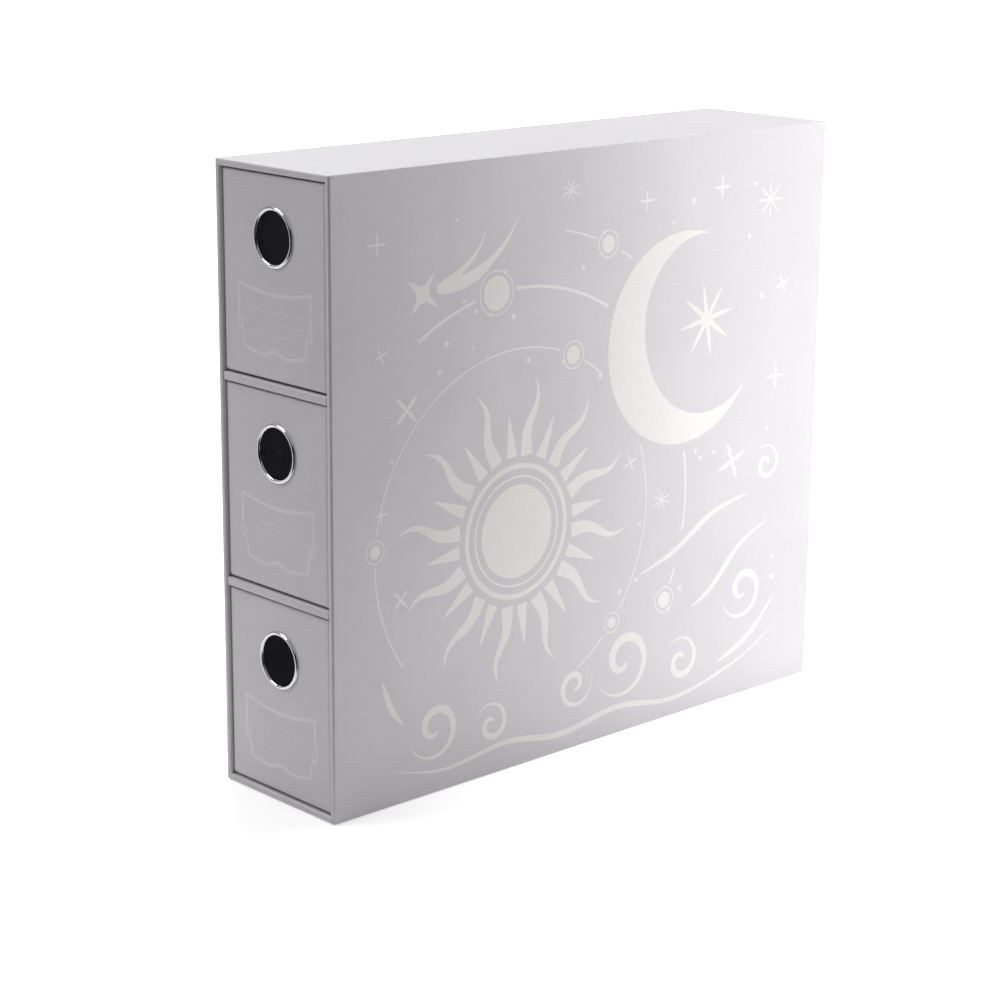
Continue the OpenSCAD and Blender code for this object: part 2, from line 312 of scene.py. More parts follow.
def make_metal_marks():
    """Faint ripples, hair scratches and haze in plated metal."""
    group, s, ends, where = new_group("metal_marks", {"Depth": 1.0}, ["Height", "Haze"])
    hair = s.add("ShaderNodeMapping", Vector=where, Scale=(1.0, 1.0, 0.06),
                 Rotation=(0.2, 0.5, 0.9)).outputs[0]
    hairs = s.remap(s.noise(hair, scale=4200.0, detail=2.0), 0.62, 0.72)
    ripple = s.noise(where, scale=320.0, detail=2.0)
    height = s.maths("ADD", s.maths("MULTIPLY", ripple, 0.6), s.maths("MULTIPLY", hairs, -0.25))
    s.add("NodeGroupOutput", Height=s.maths("MULTIPLY", height, ends.outputs["Depth"]),
          Haze=s.noise(where, scale=90.0, detail=4.0))
    return group


PAPER_GRAIN = make_paper_grain()
EDGE_WEAR = make_edge_wear()
FINE_DUST = make_fine_dust()
METAL_MARKS = make_metal_marks()


# ---------------------------------------------------------------- materials

def new_material(name):
    material = bpy.data.materials.new(name)
    material.use_nodes = True
    material.node_tree.nodes.clear()
    return material, Shader(material.node_tree)


def close_material(s, **inputs):
    """The Principled shader at the end of a material, with its own plain values."""
    surface = s.add("ShaderNodeBsdfPrincipled", **inputs)
    s.add("ShaderNodeOutputMaterial", Surface=surface.outputs[0])


def make_paper(name, ground, rough, pearl, fibre_depth, fibre_length, rubbed=None,
               mottle_by=0.05, fleck_by=0.0, fleck=None, glow=0.0):
    """A paper: its ground colour, the colour of its rubbed edges, fibres, flecks, and the pearl
    pigment's sheen. With glow it gives off that share of its colour, as if light reached it.
    Ink is a paper with no rubbed edges."""
    rubbed_rough, dust_rough = 0.25, 0.12
    material, s = new_material(name)
    grain = s.group(PAPER_GRAIN, Fibre_Length=fibre_length, Fibre_Depth=fibre_depth)
    dust = s.group(FINE_DUST, Amount=0.25).outputs["Mask"]
    shade = s.remap(grain.outputs["Mottle"], 0.3, 0.7, 1.0 - mottle_by, 1.0 + mottle_by)
    shade = s.add("ShaderNodeCombineColor", Red=shade, Green=shade, Blue=shade).outputs[0]
    colour = s.blend(1.0, ground, shade, "MULTIPLY")
    if fleck:
        amount = s.maths("MULTIPLY", grain.outputs["Fleck"], fleck_by)
        colour = s.blend(amount, colour, fleck)
    if rubbed:
        worn = s.group(EDGE_WEAR, Amount=0.5).outputs["Mask"]
        colour = s.blend(worn, colour, rubbed)
        rough = s.maths("ADD", rough, s.maths("MULTIPLY", worn, rubbed_rough))
        if pearl:
            pearl = s.maths("MULTIPLY", pearl, s.maths("SUBTRACT", 1.0, worn))
    rough = s.maths("ADD", rough, s.maths("MULTIPLY", dust, dust_rough))
    bump = s.add("ShaderNodeBump", Strength=0.35, Distance=0.04 * MM,
                 Height=grain.outputs["Height"]).outputs[0]
    glowing = {"Emission_Color": colour, "Emission_Strength": glow} if glow else {}
    close_material(s, Normal=bump, Base_Color=colour, Roughness=rough, Metallic=pearl, **glowing)
    return material


def make_metal(name, tint, rough, haze_by, depth):
    """Plated metal with faint ripples, hair scratches, haze and a film of dust."""
    dust_rough, dust_tint, dust_colour = 0.08, 0.3, (0.62, 0.61, 0.60, 1)
    material, s = new_material(name)
    marks = s.group(METAL_MARKS, Depth=depth)
    dust = s.group(FINE_DUST, Amount=0.5).outputs["Mask"]
    roughness = s.maths("ADD", rough, s.maths("MULTIPLY", marks.outputs["Haze"], haze_by))
    roughness = s.maths("ADD", roughness, s.maths("MULTIPLY", dust, dust_rough))
    colour = s.blend(s.maths("MULTIPLY", dust, dust_tint), tint, dust_colour)
    bump = s.add("ShaderNodeBump", Strength=0.3, Distance=0.03 * MM,
                 Height=marks.outputs["Height"]).outputs[0]
    close_material(s, Normal=bump, Base_Color=colour, Roughness=roughness, Metallic=1.0)
    return material


PEARL_PAPER = make_paper("cover_paper", (0.545, 0.5325, 0.549, 1), rough=0.42, pearl=0.22,
                         fibre_depth=1.0, fibre_length=1.2, rubbed=(0.66, 0.655, 0.65, 1),
                         mottle_by=0.022)
SHEET_PAPER = make_paper("sheet_paper", (0.40, 0.392, 0.400, 1), rough=0.5, pearl=0.12,
                         fibre_depth=1.3, fibre_length=1.5, rubbed=(0.52, 0.515, 0.51, 1))
# the lining's glow is painted light: it gives off a little of its own colour so the inside of the
# cabinet and drawers, seen through the finger holes, never goes fully black where no lamp reaches
CHARCOAL_PAPER = make_paper("lining_paper", (0.022, 0.022, 0.024, 1), rough=0.78, pearl=0.0,
                            fibre_depth=2.0, fibre_length=1.6, rubbed=(0.06, 0.06, 0.06, 1),
                            mottle_by=0.2, fleck_by=0.12, fleck=(0.10, 0.10, 0.105, 1),
                            glow=0.42)
GREYBOARD = make_paper("greyboard", (0.30, 0.285, 0.26, 1), rough=0.85, pearl=0.0,
                       fibre_depth=3.0, fibre_length=2.4, rubbed=(0.36, 0.35, 0.33, 1),
                       mottle_by=0.15, fleck_by=0.6, fleck=(0.13, 0.125, 0.12, 1))
SIDE_INK = make_paper("side_ink", (0.68, 0.672, 0.654, 1), rough=0.42, pearl=0.22,
                      fibre_depth=0.6, fibre_length=1.2, mottle_by=0.03)
LABEL_INK = make_paper("label_ink", (0.632, 0.620, 0.624, 1), rough=0.42, pearl=0.3,
                       fibre_depth=0.6, fibre_length=1.2, mottle_by=0.03)
RING_CHROME = make_metal("ring_chrome", (0.86, 0.86, 0.87, 1), rough=0.06, haze_by=0.05,
                         depth=1.0)
WASHER_STEEL = make_metal("washer_steel", (0.60, 0.60, 0.61, 1), rough=0.28, haze_by=0.12,
                          depth=2.0)

BOARD_NODES = ["back_board", "upper_shelf_board", "lower_shelf_board"]
LINING_NODES = ["cabinet_lining", "upper_shelf_lining", "lower_shelf_lining"]
WASHER_NODES = []
for drawer in DRAWERS:
    BOARD_NODES += [f"{drawer}_{board}" for board in
                    ("left_wall", "right_wall", "back_wall", "base_board")]
    LINING_NODES.append(f"{drawer}_tray_lining")
    WASHER_NODES.append(f"{drawer}_ring_washer")


def dress_nodes(names, material):
    """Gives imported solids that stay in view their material."""
    for name in names:
        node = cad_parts[name]
        node.data.materials.clear()
        node.data.materials.append(material)


dress_nodes(BOARD_NODES, GREYBOARD)
dress_nodes(LINING_NODES, CHARCOAL_PAPER)
dress_nodes(WASHER_NODES, WASHER_STEEL)


# ---------------------------------------------------------------- the cabinet's papers

def cabinet_wrap():
    """One sheet round the four sides, folded in over the front edges and over the back ones."""
    back = WRAP_HIGH.y

    def profile(inner):
        return rounded_path([
            (BACK_TURN_W, back, CUT_R), (0, back, BACK_R), (0, FRONT_Y, FRONT_R),
            (EDGE_W, FRONT_Y, inner), (EDGE_W, TURN_IN_Y, CUT_R),
            (EDGE_W - COVER_T, TURN_IN_Y, CUT_R),
            (EDGE_W - COVER_T, FRONT_Y + COVER_T, inner - COVER_T),
            (COVER_T, FRONT_Y + COVER_T, FRONT_R - COVER_T),
            (COVER_T, back - COVER_T, BACK_R - COVER_T),
            (BACK_TURN_W, back - COVER_T, CUT_R)])

    def loop(inset, y, worn):
        radius = max(CORNER_R - inset, 0.2 * MM)
        outline = rectangle((WRAP_LOW.x + inset, WRAP_LOW.z + inset),
                            (WRAP_HIGH.x - inset, WRAP_HIGH.z - inset), [radius] * 4)
        return [(x, y, z, max(worn, corner * (inset < EDGE_R))) for x, z, corner in outline]

    # the top runs from the middle of the outline's third corner to the middle of its fourth
    top_start, top_end = CORNER_POINTS * 5 // 2, CORNER_POINTS * 7 // 2
    loops = []
    for soft, tight in zip(profile(EDGE_R), profile(TOP_EDGE_R)):
        around = loop(*soft)
        around[top_start:top_end] = loop(*tight)[top_start:top_end]
        loops.append(around)
    finish_mesh("cabinet_wrap", closed_skin(loops, ring=True), PEARL_PAPER,
                "cabinet", ["outer_wrap"])


def cabinet_board(name):
    """A cabinet board whose front and back edges are crushed round under the paper."""
    rounder = 0.03 * MM    # by this much more than the inside of the paper
    low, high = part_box(name)
    wide = 0 if high.x - low.x > high.z - low.z else 2
    thin = 2 - wide
    fold = TOP_EDGE_R if name == "top_board" else EDGE_R
    outer, inner, behind = [r - COVER_T + rounder for r in (FRONT_R, fold, BACK_R)]
    on_low_side = low[thin] - WRAP_LOW[thin] < 1 * MM
    front = [outer, inner] if on_low_side else [inner, outer]
    profile = rectangle((low[thin], low.y), (high[thin], high.y), front + [behind, behind])
    loops = []
    for level in (low[wide], high[wide]):
        loops.append([((level, y, t) if wide == 0 else (t, y, level)) + (worn,)
                      for t, y, worn in profile])
    finish_mesh(f"{name}_crushed", closed_skin(loops), GREYBOARD, "cabinet", [name])


def corner_laps():
    """Where the top and bottom turn-ins lie over the side ones at the front, cut to a mitre."""
    lap_t, crown, sunk = 0.14 * MM, 0.02 * MM, -0.05 * MM
    fade = 9 * MM
    outer, inner = 1.0 * MM, EDGE_W - 0.95 * MM
    middle = (outer + inner) / 2
    for side, across in (("left", -1), ("right", 1)):
        for end, edge_z, upward in (("bottom", WRAP_LOW.z, -1), ("top", WRAP_HIGH.z, 1)):
            loops = []
            for along, lift in ((0.0, lap_t), (0.35 * fade, lap_t * 0.9), (fade, 0.01 * MM)):
                loops.append([(across * (WRAP_HIGH.x - depth - along), FRONT_Y - height,
                               edge_z - upward * depth, 0.2 if along else 0.8)
                              for depth, height in ((outer, lift), (middle, lift + crown),
                                                    (inner, lift), (inner, sunk),
                                                    (middle, sunk), (outer, sunk))])
            finish_mesh(f"corner_lap_{end}_{side}", closed_skin(loops), PEARL_PAPER,
                        "cabinet")


def shelf_wrap(shelf):
    """Cover paper folded round a shelf's front edge, pressed in a little where it ends."""
    front_part = 1.5 * MM    # how far back the fold is pressed in
    low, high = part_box(f"{shelf}_wrap")
    top_in, low_in = high.z - COVER_T, low.z + COVER_T
    profile = rounded_path([
        (high.y, low.z, CUT_R), (low.y, low.z, FOLD_R), (low.y, high.z, FOLD_R),
        (high.y, high.z, CUT_R), (high.y, top_in, CUT_R), (low.y + COVER_T, top_in, CREASE_R),
        (low.y + COVER_T, low_in, CREASE_R), (high.y, low_in, CUT_R)])
    centre_z = (low.z + high.z) / 2
    ends = [(low.x, 0.16 * MM), (low.x + 0.35 * MM, 0.03 * MM), (low.x + 1.2 * MM, 0.0)]
    loops = []
    for x, pinch in ends + [(-x, pinch) for x, pinch in reversed(ends)]:
        loops.append([(x, y + (pinch if y < low.y + front_part else 0.0),
                       z - math.copysign(pinch * 0.6, z - centre_z), worn)
                      for y, z, worn in profile])
    finish_mesh(f"{shelf}_folded_paper", closed_skin(loops), PEARL_PAPER,
                "cabinet", [f"{shelf}_wrap"])


# ---------------------------------------------------------------- the drawers

def pressed_plate(low, high, centre_z, radii, inner_y=None):
    """Loops of a plate from its hole outwards over the face, whose edge is pressed back softly,
    and round its sides. Its inner skin starts at inner_y, or else it is solid to its back."""
    splits = (26, 34, 30, 34)
    hole_spreads = (0.0, 0.8, 1.4, 1.9, 2.6, 3.8, 5.6, DISH_W)
    face_y, end_y = low.y, high.y

    def outline(inset):
        return rectangle((low.x + inset, low.z + inset), (high.x - inset, high.z - inset),
                         [max(r - inset, 0.15 * MM) for r in radii], splits)

    def fall(t):
        return PRESS_DEPTH * t ** PRESS_CURVE

    loops = []
    face_edge = outline(PRESS_W)

    def round_loop(radius, y):
        loop = []
        for x, z, _ in face_edge:
            away = Vector((x, z - centre_z)).normalized() * radius
            loop.append((away.x, y, centre_z + away.y, 0.0))
        loops.append(loop)

    round_loop(HOLE_R, inner_y or end_y)
    for spread in hole_spreads:
        dish = 1 - spread / DISH_W
        round_loop(HOLE_R + spread * MM, face_y + DISH_DEPTH * dish * dish * (3 - 2 * dish))
    edge = [(PRESS_W * (1 - t), face_y + fall(t), 0.0) for t in
            (0, 0.15, 0.3, 0.45, 0.6, 0.7, 0.8)]
    edge += rounded_path([(PRESS_W * 0.2, face_y + fall(0.8), 0),
                          (0, face_y + PRESS_DEPTH, 0.62 * MM), (0, end_y, CUT_R),
                          (COVER_T, end_y, 0)], closed=False)[1:]
    if inner_y:
        fold_y = face_y + PRESS_DEPTH + COVER_T
        edge += [(COVER_T, fold_y + 0.4 * MM, 0.0), (COVER_T + 0.3 * MM, fold_y, 0.0),
                 (PRESS_W, face_y + COVER_T, 0.0)]
    for inset, y, worn in edge:
        loops.append([(x, y, z, max(worn, corner * (inset < 0.6 * MM)))
                      for x, z, corner in outline(inset)])
    return loops


def drawer_front(drawer):
    """A drawer front: its pressed greyboard, the cover paper over it, dished a little where the
    ring presses, and the paper's turn-over down the back."""
    low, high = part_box(f"{drawer}_front_cover")
    ring_low, ring_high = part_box(f"{drawer}_finger_ring")
    board_low, board_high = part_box(f"{drawer}_front_board")
    centre_z = (ring_low.z + ring_high.z) / 2
    low_r, top_r = 1.8 * MM, 0.9 * MM
    loops = pressed_plate(low, Vector((high.x, board_high.y, high.z)), centre_z,
                          [low_r, low_r, top_r, top_r], low.y + COVER_T)
    finish_mesh(f"{drawer}_front_paper", closed_skin(loops, ring=True), PEARL_PAPER,
                drawer, [f"{drawer}_front_cover"])
    low_r, top_r = 1.55 * MM, 0.65 * MM
    loops = pressed_plate(board_low, board_high, centre_z, [low_r, low_r, top_r, top_r])
    finish_mesh(f"{drawer}_front_pressed_board", closed_skin(loops, ring=True), GREYBOARD,
                drawer, [f"{drawer}_front_board"])
    side_gap, top_gap = 1.2 * MM, 0.35 * MM
    tray_top_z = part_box(f"{drawer}_tray_wrap")[1].z
    pasted_sheet(f"{drawer}_front_turn_over",
                 (low.x + side_gap, board_high.y - TUCK, tray_top_z - TUCK),
                 (high.x - side_gap, board_high.y + COVER_T, high.z - top_gap), 1,
                 PEARL_PAPER, drawer)


def finger_ring(drawer):
    """A chrome eyelet: a domed rim with its crest near the hole, a sleeve and a rolled end."""
    low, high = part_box(f"{drawer}_finger_ring")
    face_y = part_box(f"{drawer}_front_cover")[0].y
    centre_z = (low.z + high.z) / 2
    rim_r = high.x
    hole_r = rim_r - 1.9 * MM
    sleeve_r = hole_r + 0.5 * MM
    roll_r = sleeve_r + 0.9 * MM
    bead = 0.2 * MM
    front, back = low.y, high.y
    crest_r = (hole_r + rim_r) / 2
    half_w, height = (rim_r - hole_r) / 2, face_y - front
    dome_steps, roll_steps, turns = 24, 8, 128
    section = [(rim_r, face_y + TUCK)]
    for k in range(dome_steps + 1):
        angle = math.pi * k / dome_steps
        section.append((crest_r + half_w * math.cos(angle), face_y - height * math.sin(angle)))
    section.append((hole_r, back - 0.5 * MM))
    for k in range(roll_steps + 1):
        angle = math.pi * k / roll_steps
        if k < roll_steps / 2:
            flare = (roll_r - hole_r - bead) * math.cos(angle / 2) ** 1.2
            section.append((roll_r - bead - flare, back - bead + bead * math.sin(angle)))
        else:
            section.append((roll_r - bead + bead * math.sin(angle),
                            back - bead + bead * math.cos(angle)))
    section += [(sleeve_r + TUCK, back - 0.41 * MM), (sleeve_r, back - 0.6 * MM),
                (sleeve_r, face_y + 0.3 * MM), (sleeve_r + 0.2 * MM, face_y + TUCK)]
    loops = []
    for k in range(turns):
        angle = 2 * math.pi * k / turns
        loops.append([(r * math.cos(angle), y, centre_z + r * math.sin(angle), 0.0)
                      for r, y in section])
    finish_mesh(f"{drawer}_chrome_ring", closed_skin(loops, ring=True), RING_CHROME,
                drawer, [f"{drawer}_finger_ring"], sharp_angle=55)


def tray_wrap(drawer):
    """Cover paper round the outside of a tray, over its top edges and under its base."""
    corner_r, top_r = 0.7 * MM, 0.8 * MM
    under_w, turn_w = 10 * MM, 12 * MM
    low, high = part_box(f"{drawer}_tray_wrap")
    wall_low, wall_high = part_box(f"{drawer}_right_wall")
    wall_t = wall_high.x - wall_low.x + 2 * COVER_T
    turn_z = high.z - COVER_T - turn_w
    profile = rounded_path([
        (under_w, low.z, CUT_R), (0, low.z, corner_r), (0, high.z, top_r),
        (wall_t, high.z, top_r), (wall_t, turn_z, CUT_R), (wall_t - COVER_T, turn_z, CUT_R),
        (wall_t - COVER_T, high.z - COVER_T, CREASE_R), (COVER_T, high.z - COVER_T, CREASE_R),
        (COVER_T, low.z + COVER_T, CREASE_R), (under_w, low.z + COVER_T, CUT_R)])
    rows = []
    for inset, z, worn in profile:
        radius = max(corner_r - inset, 0.15 * MM)
        plan = rounded_path([(low.x + inset, low.y, 0), (low.x + inset, high.y - inset, radius),
                             (high.x - inset, high.y - inset, radius), (high.x - inset, low.y, 0)],
                            closed=False)
        rows.append([(x, y, z, max(worn, corner * (inset < corner_r))) for x, y, corner in plan])
    finish_mesh(f"{drawer}_tray_paper", closed_skin([list(row) for row in zip(*rows)]),
                PEARL_PAPER, drawer, [f"{drawer}_tray_wrap"])
    margin, sheet_half_t = 4 * MM, 0.1 * MM
    pasted_sheet(f"{drawer}_underside_sheet",
                 (low.x + margin, low.y + 1 * MM, low.z - sheet_half_t),
                 (high.x - margin, high.y - margin, low.z + sheet_half_t), 2,
                 SHEET_PAPER, drawer)


cabinet_wrap()
for board in ("top_board", "bottom_board", "left_side_board", "right_side_board"):
    cabinet_board(board)
corner_laps()
for shelf in SHELVES:
    shelf_wrap(shelf)
pasted_sheet("back_pasted_sheet", (BACK_LOW.x, WRAP_HIGH.y - TUCK, BACK_LOW.z),
             (BACK_HIGH.x, BACK_HIGH.y, BACK_HIGH.z), 1, SHEET_PAPER, "cabinet",
             ["back_sheet"])
pasted_sheet("base_pasted_sheet", BASE_LOW, BASE_HIGH, 2, SHEET_PAPER, "cabinet",
             ["base_sheet"])
for drawer in DRAWERS:
    drawer_front(drawer)
    finger_ring(drawer)
    tray_wrap(drawer)


# ---------------------------------------------------------------- printed ink

INK_UNDER = 0.01 * MM      # how far ink sinks into its paper
INK_OVER = 0.025 * MM      # and stands off it
INK_STEP = 0.0004 * MM     # each shape lies this much higher, so crossings stay clean


def round_point(centre, radius, angle):
    """The point (across, up) at an angle round a centre."""
    return centre[0] + radius * math.cos(angle), centre[1] + radius * math.sin(angle)


class Print:
    """Printed shapes as thin slabs on one flat face. Place turns (across, up, lift) to a point."""

    def __init__(self, place):
        self.bm = bmesh.new()
        self.place = place
        self.over = INK_OVER

    def vert(self, point, lift):
        return self.bm.verts.new(self.place(point[0], point[1], lift))

    def ribbon(self, points, widths, closed=False):
        """A stroke along points, with a width at each."""
        self.over += INK_STEP
        count = len(points)
        rows = []
        for i, (x, y) in enumerate(points):
            if closed:
                before, after = points[i - 1], points[(i + 1) % count]
            else:
                before, after = points[max(i - 1, 0)], points[min(i + 1, count - 1)]
            along = Vector((after[0] - before[0], after[1] - before[1])).normalized()
            side = Vector((-along.y, along.x)) * widths[i] / 2
            left, right = (x + side.x, y + side.y), (x - side.x, y - side.y)
            rows.append((self.vert(left, self.over), self.vert(right, self.over),
                         self.vert(right, -INK_UNDER), self.vert(left, -INK_UNDER)))
        pairs = list(zip(rows, rows[1:])) + ([(rows[-1], rows[0])] if closed else [])
        for near, far in pairs:
            for k in range(4):
                self.bm.faces.new((near[k], near[(k + 1) % 4], far[(k + 1) % 4], far[k]))
        if not closed:
            self.bm.faces.new(rows[0])
            self.bm.faces.new(rows[-1])

    def clear_ribbon(self, points, widths, spots):
        """A stroke that breaks off round spots (centre, radius). Scraps are left out."""
        shortest = 4
        run = []
        for point, width in [*zip(points, widths), (None, None)]:
            if point and all(math.dist(point, spot) > radius for spot, radius in spots):
                run.append((point, width))
                continue
            if len(run) >= shortest:
                self.ribbon([p for p, _ in run], [w for _, w in run])
            run = []

    def patch(self, outline):
        """A filled shape inside an outline."""
        self.over += INK_STEP
        over = [self.vert(p, self.over) for p in outline]
        under = [self.vert(p, -INK_UNDER) for p in outline]
        faces = [self.bm.faces.new(over), self.bm.faces.new(under)]
        for face in faces:
            face.normal_update()
        for i in range(len(outline)):
            j = (i + 1) % len(outline)
            self.bm.faces.new((over[i], over[j], under[j], under[i]))
        bmesh.ops.triangulate(self.bm, faces=faces, ngon_method="EAR_CLIP")

    def line(self, points, width):
        self.ribbon(points, [width] * len(points))

    def circle(self, centre, radius, width, start=0.0, end=360.0, spots=()):
        """A drawn circle, or the part of it from one angle to another, clear of the spots."""
        steps = max(24, int(radius / MM * abs(end - start) / 90))
        full = end - start >= 360
        points = [round_point(centre, radius, math.radians(start + (end - start) * k / steps))
                  for k in range(steps if full else steps + 1)]
        widths = [width] * len(points)
        if spots:
            self.clear_ribbon(points, widths, spots)
        else:
            self.ribbon(points, widths, closed=full)

    def disc(self, centre, radius):
        steps = max(16, int(radius / MM * 3))
        self.patch([round_point(centre, radius, 2 * math.pi * k / steps) for k in range(steps)])

    def star(self, centre, reach, points, waist, turned):
        """A star with concave sides between its points. Its waist is a share of its reach."""
        parts, curve = 8, 2.6
        outline = []
        for k in range(points):
            tip = math.radians(turned) + 2 * math.pi * k / points
            for part in range(parts):
                t = part / parts
                radius = reach * (waist + (1 - waist) * abs(1 - 2 * t) ** curve)
                outline.append(round_point(centre, radius, tip + 2 * math.pi / points * t))
        self.patch(outline)

    def close(self, name, ink, body):
        finish_mesh(name, self.bm, ink, body, sharp_angle=20)


def smooth_line(points):
    """A curve through points."""
    per_part = 8
    curve = []
    for i in range(len(points) - 1):
        p0, p1 = points[max(i - 1, 0)], points[i]
        p2, p3 = points[i + 1], points[min(i + 2, len(points) - 1)]
        for k in range(per_part):
            t = k / per_part
            curve.append(tuple(0.5 * (2 * p1[a] + (p2[a] - p0[a]) * t
                                      + (2 * p0[a] - 5 * p1[a] + 4 * p2[a] - p3[a]) * t * t
                                      + (3 * p1[a] - p0[a] - 3 * p2[a] + p3[a]) * t ** 3)
                               for a in (0, 1)))
    curve.append(points[-1])
    return curve


def tapered(count, middle, start, end, peak):
    """Widths of a stroke that swells from its start to a peak and thins to its end."""
    widths = []
    for k in range(count):
        t = k / (count - 1)
        if t < peak:
            swell = math.sin(math.pi / 2 * t / peak)
            widths.append(middle * (start + (1 - start) * swell))
        else:
            swell = math.sin(math.pi / 2 * (1 - t) / (1 - peak))
            widths.append(middle * (end + (1 - end) * swell))
    return widths


def label_field(drawer):
    """A ruled writing field below the ring: a pinched and scrolled border round three lines.
    Its points are in mm from the middle of the drawer front's foot."""
    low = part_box(f"{drawer}_front_cover")[0]

    def place(across, up, lift):
        return across, low.y - lift, low.z + up

    ink = Print(place)

    def both(points, widths):
        """A stroke on both sides."""
        for side in (-1, 1):
            ink.ribbon([(side * x * MM, y * MM) for x, y in points], widths)

    def mirrored(points, middle, tip):
        """A stroke right across, from its right half, thinner towards its tips."""
        half = smooth_line(points)
        whole = [(-x * MM, y * MM) for x, y in reversed(half[1:])]
        whole += [(x * MM, y * MM) for x, y in half]
        reach = whole[-1][0]
        ink.ribbon(whole, [(tip + (middle - tip) * (1 - (abs(x) / reach) ** 3)) * MM
                           for x, _ in whole])

    mirrored([(0, 40.6), (9, 41.0), (18, 42.3), (25, 43.7), (27.4, 44.5)], 1.9, 1.2)
    mirrored([(0, 14.0), (4.2, 13.0), (7.6, 11.5), (15.3, 12.2), (20, 13.0), (23.2, 13.7)],
             1.9, 1.4)
    side = smooth_line([(27.0, 44.3), (26.6, 40.0), (26.5, 34.0), (26.9, 29.4), (27.6, 26.4),
                        (27.2, 23.4), (25.8, 22.3), (24.4, 23.4), (24.2, 25.6), (25.2, 27.0),
                        (26.1, 26.2)])
    both(side, tapered(len(side), 1.4 * MM, 0.8, 0.75, 0.4))
    lower = smooth_line([(24.6, 22.8), (23.6, 21.2), (23.2, 17.5), (23.1, 13.9)])
    both(lower, tapered(len(lower), 1.5 * MM, 0.5, 0.9, 0.7))
    rule_w = 0.35 * MM
    for height, half in ((32.4, 21.5), (27.0, 20.5), (21.6, 19.5)):
        ink.line([(-half * MM, height * MM), (half * MM, height * MM)], rule_w)
    ink.close(f"{drawer}_label_ink", LABEL_INK, drawer)


def sun_burst(ink, centre, disc_r, ray_count):
    """A sun: a disc in two rings, with straight and waved rays in turn."""
    first_turn, root_r, steps = 0.1, disc_r * 1.13, 26
    ink.disc(centre, disc_r * 0.70)
    ink.circle(centre, disc_r * 0.82, 1.1 * MM)
    ink.circle(centre, disc_r * 0.98, 2.6 * MM)
    for k in range(ray_count):
        angle = 2 * math.pi * k / ray_count + first_turn
        out = Vector((math.cos(angle), math.sin(angle)))
        side = Vector((-out.y, out.x))
        if k % 2:
            reach, base, wave = disc_r * 2.30, 8.0 * MM, 3.4 * MM
        else:
            reach, base, wave = disc_r * 1.78, 7.0 * MM, 0.0
        points, widths = [], []
        for j in range(steps):
            t = j / (steps - 1)
            sway = wave * math.sin(t * math.pi * 2.1) * (0.35 + 0.65 * t)
            p = out * (root_r + (reach - root_r) * t) + side * sway
            points.append((centre[0] + p.x, centre[1] + p.y))
            widths.append(max(base * (1 - t) ** 0.85, 0.12 * MM))
        ink.ribbon(points, widths)


def crescent(ink, centre, radius, thickness, turned):
    """A moon's crescent, open to one side, with pointed ends."""
    opening, span, steps, tip_w = 52, 256, 64, 0.15 * MM
    points, widths = [], []
    for k in range(steps + 1):
        t = k / steps
        width = max(thickness * math.sin(math.pi * t) ** 1.15, tip_w)
        angle = math.radians(turned + opening + span * t)
        points.append(round_point(centre, radius - width / 2, angle))
        widths.append(width)
    ink.ribbon(points, widths)


def swirl(ink, start, size, spin, handed, width):
    """A cloud scroll: a tapering stroke that winds into a curl."""
    half_turns, shrink, steps = 2.6, 0.86, 60
    points = []
    for k in range(steps):
        t = k / (steps - 1)
        angle = math.radians(spin) + handed * t * math.pi * half_turns
        points.append(round_point(start, size * (1 - shrink * t), angle))
    ink.ribbon(points, tapered(steps, width, 0.06, 0.35, 0.55))


def planet(ink, spot, size, moons):
    """A planet in its own thin ring, with small moons on the ring."""
    ring_r = (size + 2.4) * MM
    ink.disc(spot, size * MM)
    ink.circle(spot, ring_r, 0.7 * MM)
    for turned in moons:
        ink.disc(round_point(spot, ring_r, math.radians(turned)), 1.1 * MM)


def comet(ink, head, turned, length):
    """A star with a tail of three tapering strokes."""
    gap, bend, steps = 9, 20, 30
    ink.star(head, 12 * MM, 4, 0.2, turned + 45)
    ink.disc(head, 4.4 * MM)
    for spread, share, width in ((-9, 0.78, 3.0), (0, 1.0, 4.4), (9, 0.7, 3.0)):
        points = []
        for k in range(steps):
            t = k / (steps - 1)
            angle = math.radians(turned + spread * (1 - 0.25 * t) + bend * t * t)
            points.append(round_point(head, (gap + (length * share - gap) * t) * MM, angle))
        ink.ribbon(points, tapered(steps, width * MM, 0.5, 0.04, 0.25))


